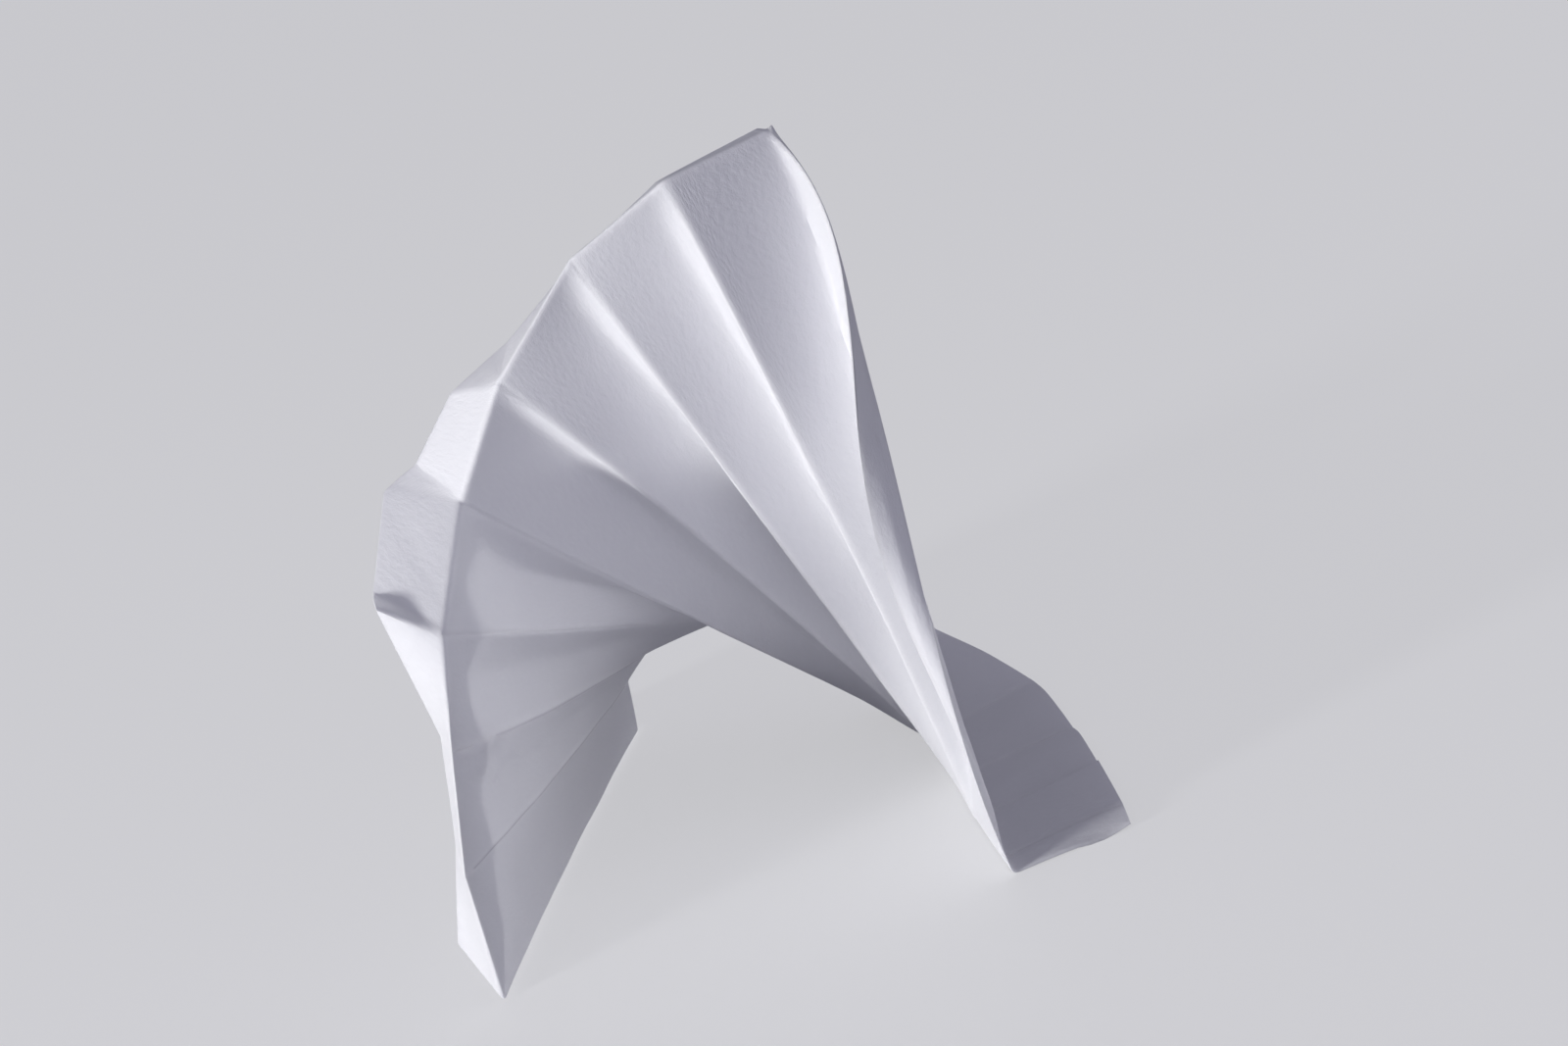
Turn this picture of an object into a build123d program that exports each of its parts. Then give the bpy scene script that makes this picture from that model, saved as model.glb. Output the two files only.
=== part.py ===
from build123d import *
import os

# A paper fan: one sheet of thick white paper, pleated by hand and folded back along both of
# its long edges, so that it stands on the floor as an arch. Seen from the front, X runs to
# the right, Y goes back and Z is up.

# Sizes in millimetres
arch_span = 100.0
arch_depth = 150.0
arch_height = 140.0
paper_thickness = 0.3
rim_band = 13.5
foot_flap = 23.0
pleat_depth = 8.0
fold_sway = 4.0
flap_ripple = 1.4

# Fold lines from the cut edge on the right to the cut edge on the left. Each has its place
# on the rim fold and on the foot fold, as shares of the arch's span, depth and height, and
# its bends: how far down the line, then how far out of line, as shares of fold_sway.
fold_line_shares = (
    (
        (-0.03, 0.033, 0.99),
        (0.00, 0.00, 0.00),
        ((0.22, 0.80, 1.30, 0.0), (0.50, 0.35, 0.60, -0.10)),
    ),
    (
        (-0.045, 0.023, 0.98),
        (-0.01, 0.06, 0.00),
        ((0.25, 0.75, -1.10, 0.0), (0.50, -0.95, -1.40, 0.0), (0.75, -0.45, -0.80, 0.0)),
    ),
    ((-0.23, -0.025, 0.972), (-0.03, 0.22, 0.00), ((0.50, 0.25, -0.45, 0.10),)),
    ((-0.42, 0.007, 0.91), (-0.04, 0.39, 0.00), ((0.50, -0.10, -1.20, 0.40),)),
    ((-0.60, 0.04, 0.785), (-0.06, 0.585, 0.00), ((0.50, 0.20, -1.70, 0.85),)),
    ((-0.727, 0.063, 0.649), (-0.16, 0.78, 0.02), ((0.50, -0.15, -1.70, 0.45),)),
    ((-0.81, -0.06, 0.53), (-0.36, 0.77, 0.20), ((0.50, 0.0, 0.0, -0.25),)),
    ((-0.855, -0.09, 0.395), (-0.55, 0.81, 0.173), ((0.50, -0.10, 0.0, -0.40),)),
    ((-0.912, -0.02, 0.215), (-0.61, 0.89, 0.115), ((0.50, 0.20, 0.0, -0.15),)),
    ((-0.935, 0.10, 0.00), (-0.63, 1.01, 0.00), ((0.50, -0.25, 0.0, 0.0),)),
)

# The hollow between each two fold lines: how deep it is, as a share of pleat_depth, and how
# far across from the right fold line its bottom lies, at the rim fold and at the foot fold
hollow_shares = (
    (-0.22, 0.50, 0.50),
    (1.20, 0.08, 0.95),
    (1.00, 0.60, 0.60),
    (1.00, 0.60, 0.60),
    (0.75, 0.50, 0.50),
    (1.10, 0.45, 0.45),
    (0.45, 0.50, 0.50),
    (0.20, 0.50, 0.50),
    (0.15, 0.50, 0.50),
)

# The two sides of a hollow, from the right fold line to its bottom and on to the left fold
# line: how far along that side, and how deep
right_side_shares = ((0.0, 0.0), (0.45, 0.60), (1.0, 1.0))
left_side_shares = ((0.33, 0.80), (0.67, 0.42), (1.0, 0.0))

# Down a pleat: how far from the rim fold, how much of its hollow's depth it has there, and how
# far the hollow's bottom has gone over to its place at the foot fold
down_shares = (
    (0.0, 0.0, 0.0),
    (0.05, 0.20, 0.02),
    (0.12, 0.45, 0.10),
    (0.22, 0.72, 0.28),
    (0.34, 0.92, 0.55),
    (0.48, 1.0, 0.90),
    (0.62, 0.92, 1.0),
    (0.76, 0.70, 1.0),
    (0.89, 0.36, 1.0),
    (1.0, 0.0, 1.0),
)

# Which way the folded-back rim band goes from the rim fold, at both ends of each pleat, as
# shares of rim_band. Where two neighbours differ, a small gusset joins them.
band_shares = (
    ((-0.13, 0.99, -0.03), (-0.13, 0.99, -0.03)),
    ((-0.13, 0.99, -0.03), (-0.10, 0.98, -0.15)),
    ((-0.10, 0.98, -0.15), (-0.05, 0.97, -0.24)),
    ((-0.05, 0.97, -0.24), (0.17, 0.89, 0.25)),
    ((-0.64, 0.74, -0.08), (-0.49, 0.67, 0.46)),
    ((-0.90, 0.30, 0.41), (-0.72, 0.22, 0.65)),
    ((-0.74, 0.30, 0.56), (-0.17, 0.96, -0.04)),
    ((-0.17, 0.96, -0.04), (-0.09, 0.98, 0.13)),
    ((-0.09, 0.98, 0.13), (-0.35, 0.10, 0.90)),
)

# Which way the foot flap goes from the foot fold at each fold line, as shares of foot_flap.
# On the right it lies flat on the floor, and on the left it goes back behind the pleats.
flap_shares = (
    (0.98, 0.235, 0.00),
    (1.03, 0.22, 0.03),
    (1.09, 0.20, 0.04),
    (1.08, 0.26, 0.04),
    (1.03, 0.36, 0.09),
    (0.87, 0.48, 0.22),
    (0.45, 0.80, 0.30),
    (0.15, 0.93, 0.30),
    (-0.15, 0.95, 0.25),
    (-0.45, 0.89, 0.00),
)

# At a tight fold the mitre between two skins is cut off at this share of a full thickness.
least_mitre_share = 0.5


def placed(shares):
    across, back, up = shares
    return Vector(across * arch_span, back * arch_depth, up * arch_height)


def between(start, end, share):
    return start + (end - start) * share


def fold_line(rim_shares, foot_shares, bends):
    rim, foot = placed(rim_shares), placed(foot_shares)
    swayed = [between(rim, foot, down) + Vector(*sway) * fold_sway for down, *sway in bends]
    with BuildLine() as line:
        Spline(rim, *swayed, foot)
    return line.line


fold_lines = [fold_line(*shares) for shares in fold_line_shares]


def column_points(pleat, rim_across, across, depth):
    """One column of the sheet: from the rim fold to the foot fold and the flap's edge."""
    right, left = fold_lines[pleat], fold_lines[pleat + 1]
    column = []
    for down, hollow, drift in down_shares:
        start, end = right @ down, left @ down
        inward = (right % down).cross(end - start).normalized()
        place = between(start, end, between(rim_across, across, drift))
        column.append(place + inward * depth * hollow * pleat_depth)
    flap_way = between(Vector(*flap_shares[pleat]), Vector(*flap_shares[pleat + 1]), across)
    rise = flap_way.cross(left @ 1 - right @ 1).normalized()
    column.append(column[-1] + flap_way * foot_flap + rise * depth * flap_ripple)
    return column


# The sheet without its thickness, as points and the three-cornered panels between them
points = []
panels = []


def add_points(new_points):
    first = len(points)
    points.extend(new_points)
    return list(range(first, len(points)))


def add_panels(right_column, left_column):
    for upper, lower in zip(range(len(right_column)), range(1, len(right_column))):
        panels.append((right_column[upper], right_column[lower], left_column[lower]))
        panels.append((right_column[upper], left_column[lower], left_column[upper]))


last_column = []
for pleat, (depth_share, *bottoms) in enumerate(hollow_shares):
    right_way, left_way = (Vector(*way) for way in band_shares[pleat])
    steps = []
    for share, depth in right_side_shares:
        steps.append(([between(0, bottom, share) for bottom in bottoms], depth))
    for share, depth in left_side_shares:
        steps.append(([between(bottom, 1, share) for bottom in bottoms], depth))
    if last_column:
        steps = steps[1:]
        if band_shares[pleat][0] != band_shares[pleat - 1][1]:
            gusset_corner = add_points([points[last_column[1]] + right_way * rim_band])[0]
            panels.append((last_column[0], last_column[1], gusset_corner))
            last_column[0] = gusset_corner
    for (rim_across, foot_across), depth in steps:
        column = column_points(pleat, rim_across, foot_across, depth * depth_share)
        band_edge = column[0] + between(right_way, left_way, rim_across) * rim_band
        new_column = add_points([band_edge] + column)
        if last_column:
            add_panels(last_column, new_column)
        last_column = new_column

# The two skins lie half a thickness to either side and meet in mitres at the folds.
normals = [[] for point in points]
for panel in panels:
    first, second, third = (points[corner] for corner in panel)
    normal = (second - first).cross(third - first).normalized()
    for corner in panel:
        normals[corner].append(normal)


def skin(half_thickness):
    moved = []
    for point, around in zip(points, normals):
        middle = sum(around, Vector(0, 0, 0)).normalized()
        mitre_share = sum(middle.dot(normal) for normal in around) / len(around)
        moved.append(point + middle * half_thickness / max(mitre_share, least_mitre_share))
    return moved


front, back = skin(paper_thickness / 2), skin(-paper_thickness / 2)

# The sheet's own edge is where a panel's side has no neighbour.
sides = []
for first, second, third in panels:
    sides += [(first, second), (second, third), (third, first)]
shared_sides = set(sides)
cut_sides = [side for side in sides if (side[1], side[0]) not in shared_sides]


def facet(*corners):
    return Face(Wire.make_polygon(corners, close=True))


facets = []
for first, second, third in panels:
    facets.append(facet(front[first], front[second], front[third]))
    facets.append(facet(back[third], back[second], back[first]))
for start, end in cut_sides:
    facets.append(facet(front[end], front[start], back[start]))
    facets.append(facet(front[end], back[start], back[end]))

# The sheet stands on the floor, with its origin under the middle of its box.
sheet = Solid(Shell(facets))
box = sheet.bounding_box()
standing = Location((-box.center().X, -box.center().Y, -box.min.Z))

os.makedirs("parts", exist_ok=True)
with BuildPart() as folded_sheet:
    add(standing * sheet)
folded_sheet.part.label = "folded_sheet"
export_step(folded_sheet.part, "parts/folded_sheet.step")
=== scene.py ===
import math

import bpy
import numpy as np
from mathutils import Matrix, Vector, noise


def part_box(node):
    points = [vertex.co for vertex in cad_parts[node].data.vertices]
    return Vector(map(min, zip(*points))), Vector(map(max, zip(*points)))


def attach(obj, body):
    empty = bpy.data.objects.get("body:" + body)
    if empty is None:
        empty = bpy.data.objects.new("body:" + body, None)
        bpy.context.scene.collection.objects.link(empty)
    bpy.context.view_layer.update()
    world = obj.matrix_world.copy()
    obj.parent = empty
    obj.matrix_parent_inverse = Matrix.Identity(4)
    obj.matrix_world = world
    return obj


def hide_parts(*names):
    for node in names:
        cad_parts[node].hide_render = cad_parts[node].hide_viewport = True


# A pleated paper fan that stands on the floor as an arch. Lengths are in metres, X runs to
# the right, Y goes back and Z is up.

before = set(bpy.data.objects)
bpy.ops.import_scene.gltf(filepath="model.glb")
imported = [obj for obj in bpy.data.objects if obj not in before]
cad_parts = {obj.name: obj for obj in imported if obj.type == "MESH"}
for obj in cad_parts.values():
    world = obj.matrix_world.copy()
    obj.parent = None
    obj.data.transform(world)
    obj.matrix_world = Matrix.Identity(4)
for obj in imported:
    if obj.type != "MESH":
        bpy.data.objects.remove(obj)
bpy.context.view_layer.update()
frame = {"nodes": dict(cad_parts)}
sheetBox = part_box("folded_sheet")
sheetMiddle = (Vector(sheetBox[0]) + Vector(sheetBox[1])) / 2
print("frame loaded:", ", ".join(frame["nodes"]))


# the folded sheet: one piece of paper with ten fold lines, a rim band and a foot flap
sheet = {
    "archSpan": 0.100,
    "archDepth": 0.150,
    "archHeight": 0.140,
    "paperThickness": 0.0003,
    "rimBand": 0.0135,
    "footFlap": 0.023,
    "pleatDepth": 0.008,
    "foldSway": 0.004,
    "flapRipple": 0.0014,
    "foldWidth": 0.0012,
    "foldRounding": 5,  # how many times the folds are softened
    "beadWidth": 0.00045,
    "gussetShare": 0.036,  # of a pleat's width, on each side of its fold line
    "creaseEnd": 0.08,  # the nearer to 0, the fainter a crease's two ends are
    "waveHeight": 0.00022,
    "waveLength": 0.021,
    "sharpAngle": 50,
    "edgeWear": 0.6,
    "scratchWear": 1.6,
    "scratchWidth": 0.0006,
    "paintedShadeOverWear": 1.5,  # how strongly the painted shade of a crease takes away the wear of its fold
}

# each fold line from the right cut edge to the left one: its place on the rim fold and on the
# foot fold as shares of span, depth and height, and its bends: how far down, then how far out
# of line as shares of foldSway
foldLines = (
    (
        (-0.03, 0.033, 0.99),
        (0.00, 0.00, 0.00),
        ((0.22, 0.80, 1.30, 0.0), (0.50, 0.35, 0.60, -0.10)),
    ),
    (
        (-0.038, 0.029, 0.985),
        (-0.01, 0.06, 0.00),
        ((0.25, 0.75, -1.10, 0.0), (0.50, -0.95, -1.40, 0.0), (0.75, -0.45, -0.80, 0.0)),
    ),
    ((-0.23, -0.025, 0.972), (-0.03, 0.22, 0.00), ((0.50, 0.25, -0.45, 0.10),)),
    ((-0.42, 0.007, 0.91), (-0.04, 0.39, 0.00), ((0.50, -0.10, -1.20, 0.40),)),
    ((-0.60, 0.04, 0.785), (-0.06, 0.585, 0.00), ((0.50, 0.20, -1.70, 0.85),)),
    ((-0.727, 0.063, 0.649), (-0.16, 0.78, 0.02), ((0.50, -0.15, -1.70, 0.45),)),
    ((-0.81, -0.06, 0.53), (-0.36, 0.77, 0.20), ((0.50, 0.0, 0.0, -0.25),)),
    ((-0.855, -0.09, 0.395), (-0.55, 0.81, 0.173), ((0.50, -0.10, 0.0, -0.40),)),
    ((-0.912, -0.02, 0.215), (-0.61, 0.89, 0.115), ((0.50, 0.20, 0.0, -0.15),)),
    ((-0.935, 0.10, 0.00), (-0.63, 1.01, 0.00), ((0.50, -0.25, 0.0, 0.0),)),
)

# the hollow of each pleat: how deep it is, as a share of pleatDepth, and how far across from
# the right fold line its bottom lies, at the rim fold and at the foot fold
hollows = (
    (-0.12, 0.50, 0.50), (1.15, 0.04, 0.95), (1.10, 0.22, 0.62), (1.10, 0.20, 0.60),
    (0.60, 0.18, 0.50), (0.85, 0.20, 0.48), (0.50, 0.40, 0.50), (0.22, 0.50, 0.50),
    (0.15, 0.50, 0.50),
)

# across a pleat: 0 on its right fold line, 1 at the bottom of its hollow, 2 on its left one
hollowAcross = ((0.0, 0.0), (0.45, 0.60), (1.0, 1.0), (1.33, 0.80), (1.67, 0.42), (2.0, 0.0))

# down a pleat from the rim fold: how much of its depth the hollow has there
hollowDown = (
    (0.0, 0.0), (0.03, 0.18), (0.06, 0.34), (0.12, 0.57), (0.22, 0.80), (0.34, 0.94),
    (0.48, 1.0), (0.62, 0.92), (0.76, 0.70), (0.89, 0.36), (1.0, 0.0),
)

# and how far its bottom has gone over to its place at the foot fold. In the pleat at the top
# right corner the bottom stays near the right fold for longer, and then crosses over.
bottomDown = (
    (0.0, 0.0), (0.05, 0.02), (0.12, 0.06), (0.22, 0.15), (0.34, 0.33), (0.48, 0.80),
    (0.62, 1.0), (1.0, 1.0),
)
cornerPleat = 1
cornerBottomDown = (
    (0.0, 0.0), (0.06, 0.05), (0.12, 0.09), (0.17, 0.11), (0.24, 0.12), (0.31, 0.15),
    (0.40, 0.33), (0.48, 0.66), (0.56, 0.90), (0.64, 1.0), (1.0, 1.0),
)

# which way the rim band goes at the right and left end of each pleat, as shares of rimBand
bandWays = (
    ((-0.05, 0.95, -0.30), (-0.09, 0.98, -0.10)),
    ((-0.09, 0.98, -0.10), (-0.10, 0.98, -0.15)),
    ((-0.10, 0.98, -0.15), (-0.05, 0.97, -0.24)),
    ((-0.05, 0.97, -0.24), (0.17, 0.89, 0.25)),
    ((-0.64, 0.74, -0.08), (-0.49, 0.67, 0.46)),
    ((-0.92, 0.54, 0.35), (-0.78, 0.80, 0.51)),
    ((-0.74, 0.30, 0.56), (-0.17, 0.96, -0.04)),
    ((-0.17, 0.96, -0.04), (-0.09, 0.98, 0.13)),
    ((-0.09, 0.98, 0.13), (-0.35, 0.10, 0.90)),
)

# which way the foot flap goes at each fold line, as shares of footFlap
flapWays = (
    (0.98, 0.235, 0.04), (1.03, 0.22, 0.07), (1.09, 0.20, 0.06), (1.08, 0.26, 0.04),
    (1.03, 0.36, 0.09), (0.87, 0.48, 0.22), (0.30, 0.85, 0.33), (-0.02, 0.93, 0.33),
    (-0.28, 0.93, 0.25), (-0.52, 0.85, 0.00),
)

# where the mesh has its columns across one pleat, and its rows down the sheet: close together
# at the folds and even between them
acrossSteps = (
    0.0, 0.007, 0.016, 0.029, 0.048, 0.078, 0.118, 0.168, 0.228, 0.296, 0.37, 0.45, 0.53,
    0.61, 0.69, 0.76, 0.82, 0.87, 0.91, 0.943, 0.966, 0.982, 0.993,
)
bandSteps = (1.0, 0.985, 0.92, 0.80, 0.66, 0.52, 0.38, 0.26, 0.17, 0.10, 0.055, 0.022)
mainSteps = (
    (0.0, 0.0025, 0.006, 0.011, 0.018, 0.028, 0.04)
    + tuple(0.052 + 0.012 * step for step in range(76))
    + (0.962, 0.972, 0.980, 0.987, 0.993, 0.9975, 1.0)
)
flapSteps = (
    0.016, 0.04, 0.08, 0.14, 0.22, 0.32, 0.43, 0.54, 0.65, 0.76, 0.86, 0.94, 0.985, 1.0,
)

# how high the pressed bead of each inner fold line stands, from the right one to the left one
foldBeads = (0.00004, 0.00006, 0.00012, 0.00008, 0.00020, 0.00028, -0.00016, -0.00014)

# small dents and creases: where both ends lie, then how wide and how high it is. A place is
# the pleat with how far across it is, and how far down: below 0 is the band, above 1 the flap.
scratches = (  # one rough scratch on the left leg, in two parts
    ((7.01, 0.005), (7.015, 0.10), 0.0004, 0.00042),
    ((7.00, 0.09), (7.01, 0.185), 0.0005, 0.00046),
)
creases = (
    ((7.04, 0.01), (7.03, 0.18), 0.0010, -0.0005),
    ((7.16, 0.05), (7.20, 0.17), 0.0026, -0.0009),
    *scratches,
    ((0.72, 0.37), (0.22, 0.43), 0.0008, 0.0005),
    ((4.14, 0.66), (4.11, 0.80), 0.0007, -0.0004),
    ((5.10, -0.95), (5.75, -0.05), 0.0009, 0.00022),
    ((0.00, 1.00), (0.00, 1.90), 0.0005, -0.0003),
    ((0.00, 1.55), (0.00, 2.00), 0.0026, -0.0009),
    ((0.60, 1.15), (0.90, 1.90), 0.0020, 0.0004),
    ((2.30, 1.10), (2.60, 1.85), 0.0024, 0.0005),
)

# painted shade on the left leg's paper: in a dent, given as above but with how dark it is, and
# along two sharp folds, given by fold line, from and to how far down, how wide and how dark
paintedShadeDents = (((7.07, 0.10), (7.13, 0.22), 0.00280, 0.22),)
paintedShadeFolds = (
    (7, 0.19, 0.97, 0.00024, 0.50),
    (8, 0.03, 0.97, 0.00024, 0.45),
)


def lineThrough(knots, at):
    # a smooth curve through given knots that doesn't overshoot them
    x, y = np.array(knots, float).T
    gap, rise = np.diff(x), np.diff(y)
    slope = rise / gap
    steep = np.empty(len(x))
    steep[0], steep[-1] = slope[0], slope[-1]
    for knot in range(1, len(x) - 1):
        before, after = slope[knot - 1], slope[knot]
        steep[knot] = 0.0 if before * after <= 0 else 2 * before * after / (before + after)
    step = np.clip(np.searchsorted(x, at, side="right") - 1, 0, len(gap) - 1)
    t = (at - x[step]) / gap[step]
    return (
        y[step] * (1 + 2 * t) * (1 - t) ** 2
        + y[step + 1] * t * t * (3 - 2 * t)
        + steep[step] * gap[step] * t * (1 - t) ** 2
        - steep[step + 1] * gap[step] * t * t * (1 - t)
    )


def foldPoints(line, down):
    # a fold line is the one curve through its rim end, its bends and its foot end
    size = np.array([sheet["archSpan"], sheet["archDepth"], sheet["archHeight"]])
    rim, foot, bends = np.array(line[0]) * size, np.array(line[1]) * size, line[2]
    downs = [0.0] + [bend[0] for bend in bends] + [1.0]
    stops = [rim]
    for bend in bends:
        stops.append(rim + (foot - rim) * bend[0] + np.array(bend[1:]) * sheet["foldSway"])
    stops.append(foot)
    curve = np.zeros((len(down), 3))
    for here, stop in zip(downs, stops):
        share = np.ones(len(down))
        for other in downs:
            if other != here:
                share *= (down - other) / (here - other)
        curve += share[:, None] * stop
    return curve


def unit(vectors):
    return vectors / np.linalg.norm(vectors, axis=-1, keepdims=True)


mainDown = np.array(mainSteps)
foldCurves = [foldPoints(line, mainDown) for line in foldLines]
tangents = [unit(np.gradient(curve, mainDown, axis=0)) for curve in foldCurves]
depthDown = lineThrough(hollowDown, mainDown) * sheet["pleatDepth"]
driftDown = lineThrough(bottomDown, mainDown)
cornerDriftDown = lineThrough(cornerBottomDown, mainDown)


def between(right, left, share):
    return np.array(right) * (1 - share) + np.array(left) * share


def bandWay(place):
    # near a fold line the band swings from one pleat's way to the next: the gusset
    pleat = min(int(place), len(bandWays) - 1)
    across = place - pleat
    reach = sheet["gussetShare"]
    way = between(*bandWays[pleat], across)
    if across < reach and pleat > 0:
        return between(bandWays[pleat - 1][1], way, 0.5 + 0.5 * across / reach)
    if across > 1 - reach and pleat < len(bandWays) - 1:
        return between(way, bandWays[pleat + 1][0], 0.5 - 0.5 * (1 - across) / reach)
    return way


def hollowAt(pleat, across):
    deep, rimBottom, footBottom = hollows[pleat]
    drift = cornerDriftDown if pleat == cornerPleat else driftDown
    bottom = rimBottom + (footBottom - rimBottom) * drift
    step = np.where(across < bottom, across / bottom, 2 - (1 - across) / (1 - bottom))
    return deep * lineThrough(hollowAcross, step)


def sheetColumn(place):
    # one column of the net: from the band's edge to the rim fold, the foot fold and the flap's
    pleat = min(int(place), len(hollows) - 1)
    across = place - pleat
    right, left = foldCurves[pleat], foldCurves[pleat + 1]
    inward = unit(np.cross(tangents[pleat], left - right))
    depth = hollowAt(pleat, across)
    main = right + (left - right) * across + inward * (depth * depthDown)[:, None]
    band = [main[0] + bandWay(place) * sheet["rimBand"] * step for step in bandSteps]
    way = between(flapWays[pleat], flapWays[pleat + 1], across)
    rise = unit(np.cross(way, left[-1] - right[-1])) * depth[-1] * sheet["flapRipple"]
    flap = [main[-1] + way * sheet["footFlap"] * step + rise * step for step in flapSteps]
    return np.vstack((band, main, flap))


columnPlaces = [pleat + step for pleat in range(len(hollows)) for step in acrossSteps]
columnPlaces.append(float(len(hollows)))
rowPlaces = np.array(
    [-step for step in bandSteps] + list(mainSteps) + [1 + step for step in flapSteps])
rimRow, footRow = len(bandSteps), len(bandSteps) + len(mainSteps) - 1
net = np.stack([sheetColumn(place) for place in columnPlaces], axis=1)
print("net of the sheet:", net.shape)


def near(net, fold, width):
    # 1 on a fold, about a third one width away from it, and soon 0
    away = np.linalg.norm(net - fold, axis=-1)
    return np.exp(-(away / width) ** 2)


def nearLine(net, line, width):
    column = line * len(acrossSteps)
    return near(net, net[:, column:column + 1], width)


def nearFolds(net):
    # the net's inner fold lines, and its rim fold and foot fold
    columns = np.zeros(net.shape[:2])
    rows = np.zeros(net.shape[:2])
    for line in range(1, len(foldLines) - 1):
        columns = np.maximum(columns, nearLine(net, line, sheet["foldWidth"]))
    for row in (rimRow, footRow):
        rows = np.maximum(rows, near(net, net[row:row + 1], sheet["foldWidth"]))
    columns[:, 0] = columns[:, -1] = 0
    rows[0] = rows[-1] = 0
    return columns, rows


def placeOnNet(net, spot):
    # the net's point nearest to a place on the sheet
    column = np.interp(spot[0], columnPlaces, np.arange(len(columnPlaces)))
    row = np.interp(spot[1], rowPlaces, np.arange(len(rowPlaces)))
    return net[int(round(row)), int(round(column))]


def nearCrease(net, start, end, width):
    # 1 in the middle of a crease, about a quarter at its ends, and fading to 0 beside it
    first, last = placeOnNet(net, start), placeOnNet(net, end)
    along = last - first
    share = np.clip((net - first) @ along / (along @ along), 0, 1)
    away = np.linalg.norm(net - first - share[..., None] * along, axis=-1)
    swell = sheet["creaseEnd"] + (1 - 2 * sheet["creaseEnd"]) * share
    return np.exp(-(away / width) ** 2) * np.sin(math.pi * swell)


def soften(net, axis, mask, times):
    # rounds the folds: a point goes halfway to the middle of its two neighbours
    for turn in range(times):
        before, after = np.roll(net, 1, axis), np.roll(net, -1, axis)
        middle = (before + after) / 2
        net = net + (middle - net) / 2 * mask[..., None]
    return net


def netNormals(net):
    along = np.gradient(net, axis=0)
    over = np.gradient(net, axis=1)
    return unit(np.cross(along, over))


columnFolds, rowFolds = nearFolds(net)
net = soften(net, 1, columnFolds, sheet["foldRounding"])
net = soften(net, 0, rowFolds, sheet["foldRounding"])

normals = netNormals(net)
height = np.zeros(net.shape[:2])
for start, end, width, rise in creases:
    height += rise * nearCrease(net, start, end, width)
for line, bead in enumerate(foldBeads, 1):
    height[rimRow:footRow] += bead * nearLine(net, line, sheet["beadWidth"])[rimRow:footRow]
for row in range(net.shape[0]):
    for column in range(net.shape[1]):
        spot = Vector(net[row, column]) / sheet["waveLength"]
        height[row, column] += noise.noise(spot) * sheet["waveHeight"]
net = net + normals * height[..., None]
print("folds rounded, dents and waves added")


# where each point lies on the flat sheet, for the paper's grain
flatAcross = np.zeros(net.shape[:2])
flatAcross[:, 1:] = np.cumsum(np.linalg.norm(np.diff(net, axis=1), axis=-1), axis=1)
flatAcross = np.broadcast_to(flatAcross[rimRow + len(mainSteps) // 2], net.shape[:2])
flatDown = np.zeros(net.shape[:2])
flatDown[1:] = np.cumsum(np.linalg.norm(np.diff(net, axis=0), axis=-1), axis=0)
flatPlace = np.stack((flatAcross, flatDown, np.zeros_like(flatDown)), axis=-1)

# how much painted shade there is, in the dent and along two sharp folds, and how worn the paper
# is: on the folds, at the cut edges and along the scratch
# painted shade: the paper's colour is darkened in the dent and along the two sharp folds
paintedFoldShade = np.zeros(net.shape[:2])
for start, end, width, paintedShade in paintedShadeDents:
    paintedFoldShade = np.maximum(paintedFoldShade, paintedShade * nearCrease(net, start, end, width))
for line, top, bottom, width, paintedShade in paintedShadeFolds:
    inside = ((rowPlaces > top) & (rowPlaces < bottom))[:, None]
    paintedFoldShade = np.maximum(paintedFoldShade, paintedShade * nearLine(net, line, width) * inside)
foldWear = np.maximum(columnFolds, rowFolds)
foldWear[0] = foldWear[-1] = sheet["edgeWear"]
foldWear[:, 0] = foldWear[:, -1] = sheet["edgeWear"]
foldWear *= 1 - np.minimum(paintedFoldShade * sheet["paintedShadeOverWear"], 1)
for start, end, _, _ in scratches:
    foldWear += sheet["scratchWear"] * nearCrease(net, start, end, sheet["scratchWidth"])


def buildSheet(name):
    rows, columns = net.shape[:2]
    index = np.arange(rows * columns).reshape(rows, columns)
    corners = (index[:-1, :-1], index[1:, :-1], index[1:, 1:], index[:-1, 1:])
    faces = np.stack(corners, axis=-1).reshape(-1, len(corners))
    mesh = bpy.data.meshes.new(name)
    mesh.from_pydata(net.reshape(-1, 3).tolist(), [], faces.tolist())
    for label, kind, field, values in (
        ("flatPlace", "FLOAT_VECTOR", "vector", flatPlace),
        ("foldWear", "FLOAT", "value", foldWear),
        ("paintedFoldShade", "FLOAT", "value", paintedFoldShade),
    ):
        attribute = mesh.attributes.new(label, kind, "POINT")
        attribute.data.foreach_set(field, values.reshape(-1).astype(np.float32))
    flatSheet = bpy.data.objects.new(name, mesh)
    bpy.context.collection.objects.link(flatSheet)
    thick = flatSheet.modifiers.new("thickness", "SOLIDIFY")
    thick.thickness = sheet["paperThickness"]
    thick.offset = 0  # half a thickness to either side
    thick.use_even_offset = True
    thick.use_quality_normals = True
    thick.thickness_clamp = 1.0
    graph = bpy.context.evaluated_depsgraph_get()
    solid = bpy.data.meshes.new_from_object(flatSheet.evaluated_get(graph))
    flatSheet.modifiers.clear()
    flatSheet.data = solid
    bpy.data.meshes.remove(mesh)
    solid.name = name
    solid.polygons.foreach_set("use_smooth", [True] * len(solid.polygons))
    solid.set_sharp_from_angle(angle=math.radians(sheet["sharpAngle"]))
    return flatSheet


paperSheet = buildSheet("paperSheet")

# it stands where its CAD solid stands
spots = np.array([vertex.co for vertex in paperSheet.data.vertices])
low, high = spots.min(axis=0), spots.max(axis=0)
shift = Vector((
    sheetMiddle.x - (low[0] + high[0]) / 2,
    sheetMiddle.y - (low[1] + high[1]) / 2,
    sheetBox[0][2] - low[2],
))
paperSheet.data.transform(Matrix.Translation(shift))
print("sheet built, shifted by", [round(part * 1000, 2) for part in shift], "mm")


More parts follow.
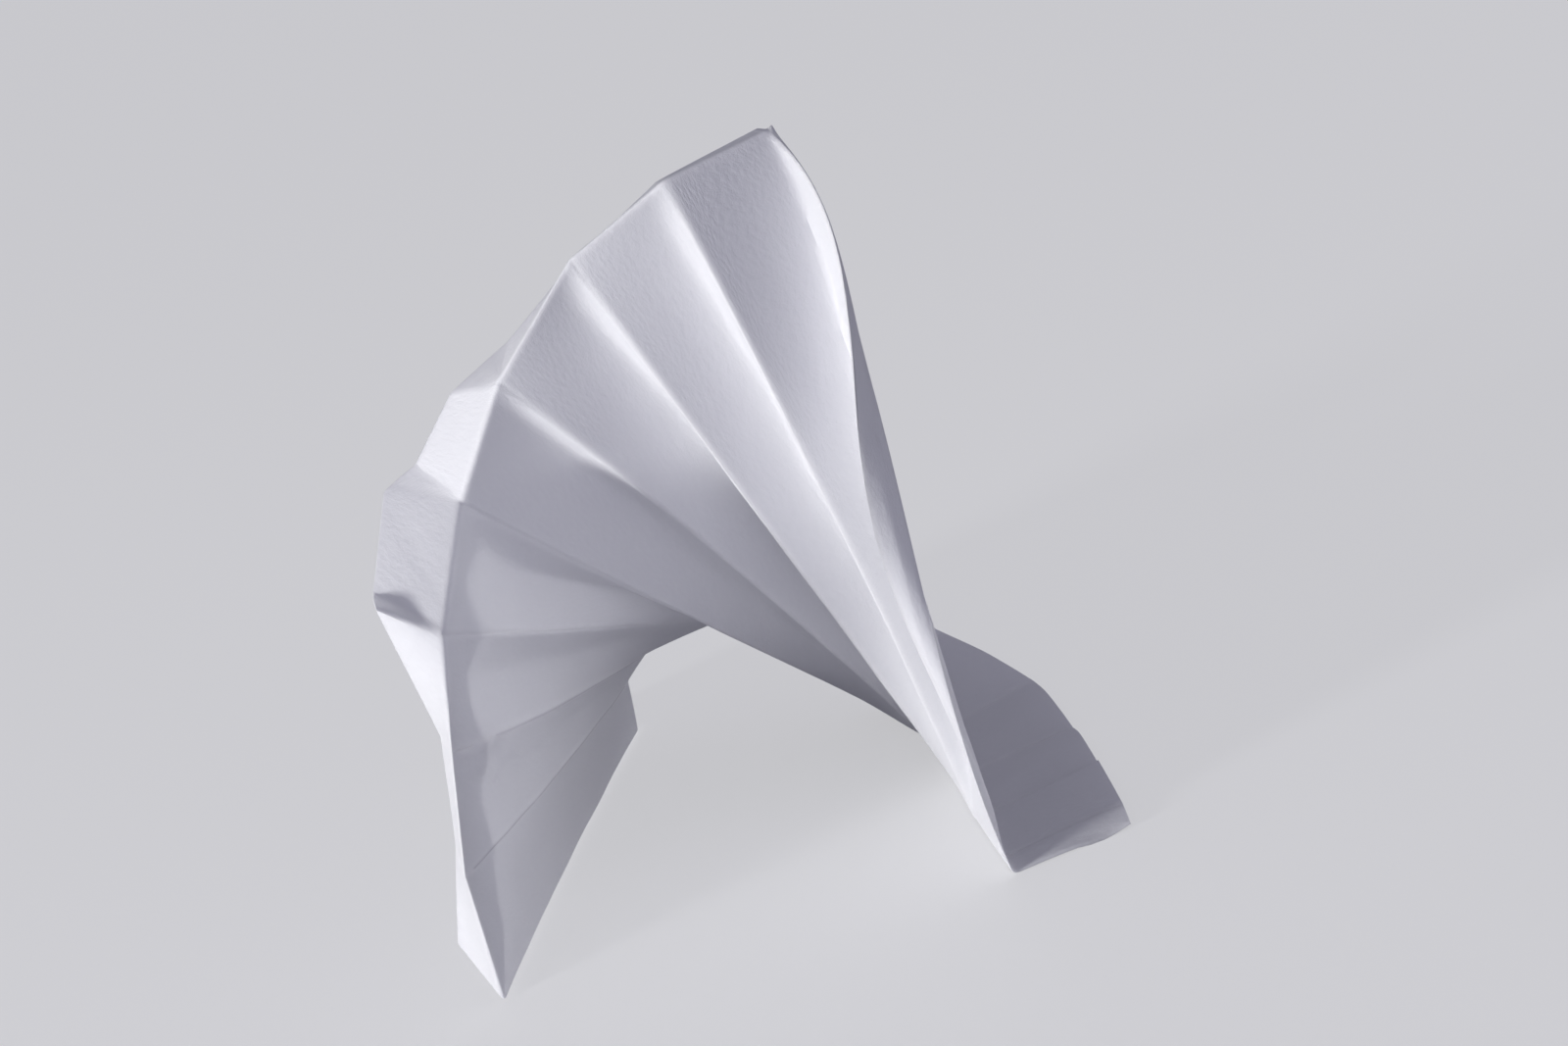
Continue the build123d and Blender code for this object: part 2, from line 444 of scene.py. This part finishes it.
class Feed:
    # one socket, so that sums on it read as sums
    def __init__(self, shader, socket):
        self.shader, self.socket = shader, socket

    def sum(self, operation, *values):
        settings, sockets = {"operation": operation}, dict(enumerate(values))
        return self.shader.add("ShaderNodeMath", settings, sockets)

    def __add__(self, other):
        return self.sum("ADD", self, other)

    def __mul__(self, other):
        return self.sum("MULTIPLY", self, other)

    __radd__ = __add__
    __rmul__ = __mul__


class Shader:
    def __init__(self, name):
        self.material = bpy.data.materials.new(name)
        self.material.use_nodes = True
        self.tree = self.material.node_tree
        self.base = self.tree.nodes["Principled BSDF"]

    def add(self, kind, settings=None, sockets=None, output=0):
        node = self.tree.nodes.new(kind)
        for setting, value in (settings or {}).items():
            setattr(node, setting, value)
        for socket, value in (sockets or {}).items():
            self.feed(node.inputs[socket], value)
        return Feed(self, node.outputs[output])

    def feed(self, target, value):
        if isinstance(value, Feed):
            self.tree.links.new(value.socket, target)
        else:
            target.default_value = value

    def finish(self, sockets):
        # the Principled shader's own sockets
        for socket, value in sockets.items():
            self.feed(self.base.inputs[socket], value)


# the paper: heavy white cartridge paper, matt, with a fine felt grain
paper = {
    "colour": (0.84, 0.84, 0.86, 1.0),
    "shade": (0.78, 0.78, 0.81, 1.0),
    "wornColour": (0.93, 0.93, 0.94, 1.0),
    # the painted shade's colour, for a dent and two sharp folds on the left leg
    "paintedShadeColour": (0.34, 0.32, 0.36, 1.0),
    "mottling": 0.3,  # how much the grain and the clouds each shade the paper
    "wornShare": 0.8,
    "roughness": 0.72,
    "roughnessSpread": 0.12,
    "gloss": 0.25,
    "grainSize": 0.0010,
    "grainTurn": 35,
    "grainStretch": (1.0, 0.55, 1.0),
    "grainHeight": 0.00009,
    "fibreSize": 0.00028,
    "fibreRelief": 0.25,
    "wornRelief": 0.5,  # how much more the fibres stand up where the paper is worn
    "cloudSize": 0.012,
    "glow": 0.55,  # thin paper lets some of the light through
    "glowDepth": 0.0015,
}


def paperMaterial():
    shader = Shader("whitePaper")

    def onSheet(label, output="Fac"):
        return shader.add("ShaderNodeAttribute", {"attribute_name": label}, output=output)

    def specks(place, size, detail, roughness):
        return shader.add(
            "ShaderNodeTexNoise", {"noise_dimensions": "2D"},
            {"Vector": place, "Scale": 1 / size, "Detail": detail, "Roughness": roughness})

    def mixed(share, first, second):
        return shader.add(
            "ShaderNodeMix", {"data_type": "RGBA"},
            {"Factor": share, 6: first, 7: second}, output=2)  # its colour sockets

    # the third attribute is the painted shade in the dent and along the two sharp folds
    flat, wear, paintedShade = onSheet("flatPlace", "Vector"), onSheet("foldWear"), onSheet("paintedFoldShade")
    turned = shader.add("ShaderNodeMapping", None, {
        "Vector": flat,
        "Rotation": (0, 0, math.radians(paper["grainTurn"])),
        "Scale": paper["grainStretch"],
    })
    grain = specks(turned, paper["grainSize"], 3.0, 0.55)
    fibre = specks(flat, paper["fibreSize"], 2.0, 0.6)
    cloud = specks(flat, paper["cloudSize"], 4.0, 0.6)
    mottled = mixed(
        grain * paper["mottling"] + cloud * paper["mottling"], paper["colour"], paper["shade"])
    worn = mixed(wear * fibre * paper["wornShare"], mottled, paper["wornColour"])
    relief = grain + fibre * (wear * paper["wornRelief"] + paper["fibreRelief"])
    leastRoughness = paper["roughness"] - paper["roughnessSpread"] / 2
    shader.finish({
        # the base colour goes toward the painted shade colour in the dent and along two sharp
        # folds
        "Base Color": mixed(paintedShade, worn, paper["paintedShadeColour"]),
        "Roughness": fibre * paper["roughnessSpread"] + leastRoughness,
        "Normal": shader.add("ShaderNodeBump", None, {
            "Strength": 1.0, "Distance": paper["grainHeight"], "Height": relief}),
        "Specular IOR Level": paper["gloss"],
        "Subsurface Weight": paper["glow"],
        "Subsurface Radius": (1.0, 1.0, 1.0),
        "Subsurface Scale": paper["glowDepth"],
    })
    return shader.material


paperSheet.data.materials.append(paperMaterial())
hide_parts("folded_sheet")
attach(paperSheet, "root")
print("paper finished")


# the floor: plain and pale, and wide enough to fill the picture
floor = {
    "halfWidth": 8.0,
    "colour": (0.78, 0.78, 0.80, 1.0),
    "roughness": 0.6,
    "paleColour": (0.84, 0.84, 0.86, 1.0),
    "paleShare": 0.60,  # the rest is lit by the lamps and keeps the fan's shadow
}


def buildFloor():
    reach = floor["halfWidth"]
    corners = [(-reach, -reach, 0), (reach, -reach, 0), (reach, reach, 0), (-reach, reach, 0)]
    mesh = bpy.data.meshes.new("floor")
    mesh.from_pydata(corners, [], [(0, 1, 2, 3)])
    shader = Shader("plainFloor")
    shader.finish({"Base Color": floor["colour"], "Roughness": floor["roughness"]})
    seen = sum(
        shader.add("ShaderNodeLightPath", output=ray)
        for ray in ("Is Camera Ray", "Is Glossy Ray", "Is Transmission Ray"))
    lit = Feed(shader, shader.base.outputs["BSDF"])
    pale = shader.add(
        "ShaderNodeEmission", None, {"Color": floor["paleColour"], "Strength": 1.0})
    both = shader.add(
        "ShaderNodeMixShader", None, {0: seen * floor["paleShare"], 1: lit, 2: pale})
    shader.feed(shader.tree.nodes["Material Output"].inputs["Surface"], both)
    mesh.materials.append(shader.material)
    ground = bpy.data.objects.new("floor", mesh)
    bpy.context.collection.objects.link(ground)


buildFloor()
print("floor laid")


# the lamps: a small key lamp low on the left, a broad cool side lamp low in front, and a cool
# even fill. Bearings go from the front round to the left.
lamps = {
    "keyBearing": 55.0,
    "keyRise": 4.0,
    "keyDistance": 1.3,
    "keySize": 0.25,
    "keyPower": 12.8,
    "keyColour": (1.0, 1.0, 1.0),
    "sideBearing": -16.0,
    "sideRise": 6.0,
    "sideDistance": 1.6,
    "sideSize": 1.2,
    "sidePower": 3.5,
    "sideColour": (0.83, 0.82, 1.0),
    "fillColour": (0.83, 0.82, 1.0, 1.0),
    "fillStrength": 0.28,
}


def hangLamp(name):
    bearing = math.radians(lamps[name + "Bearing"])
    rise = math.radians(lamps[name + "Rise"])
    level = math.cos(rise)
    way = Vector((-math.sin(bearing) * level, -math.cos(bearing) * level, math.sin(rise)))
    light = bpy.data.lights.new(name, "AREA")
    light.shape = "DISK"
    light.size = lamps[name + "Size"]
    light.energy = lamps[name + "Power"]
    light.color = lamps[name + "Colour"]
    lamp = bpy.data.objects.new(name, light)
    lamp.location = sheetMiddle + way * lamps[name + "Distance"]
    lamp.rotation_euler = way.to_track_quat("Z", "Y").to_euler()
    bpy.context.collection.objects.link(lamp)


def fillScene():
    world = bpy.data.worlds.new("fill")
    world.use_nodes = True
    background = world.node_tree.nodes["Background"]
    background.inputs["Color"].default_value = lamps["fillColour"]
    background.inputs["Strength"].default_value = lamps["fillStrength"]
    bpy.context.scene.world = world


hangLamp("key")
hangLamp("side")
fillScene()
print("lamps hung")


# the camera: it looks down a little and is rolled to the right, as the photograph's was
view = {
    "place": (0.01723, -0.73907, 0.24413),
    "lookDown": 14.5,
    "roll": 17.0,
    "lens": 91.57,
    "sensor": 36.0,
    "farthest": 50.0,
}


def placeCamera():
    lens = bpy.data.cameras.new("camera")
    lens.lens = view["lens"]
    lens.sensor_fit = "HORIZONTAL"
    lens.sensor_width = view["sensor"]
    lens.clip_end = view["farthest"]
    camera = bpy.data.objects.new("camera", lens)
    tilt = Matrix.Rotation(math.radians(90 - view["lookDown"]), 4, "X")
    roll = Matrix.Rotation(math.radians(-view["roll"]), 4, "Z")
    camera.matrix_world = Matrix.Translation(view["place"]) @ tilt @ roll
    bpy.context.collection.objects.link(camera)
    bpy.context.scene.camera = camera


placeCamera()
bpy.context.scene.view_settings.view_transform = "Standard"
bpy.context.view_layer.update()
print("camera set")
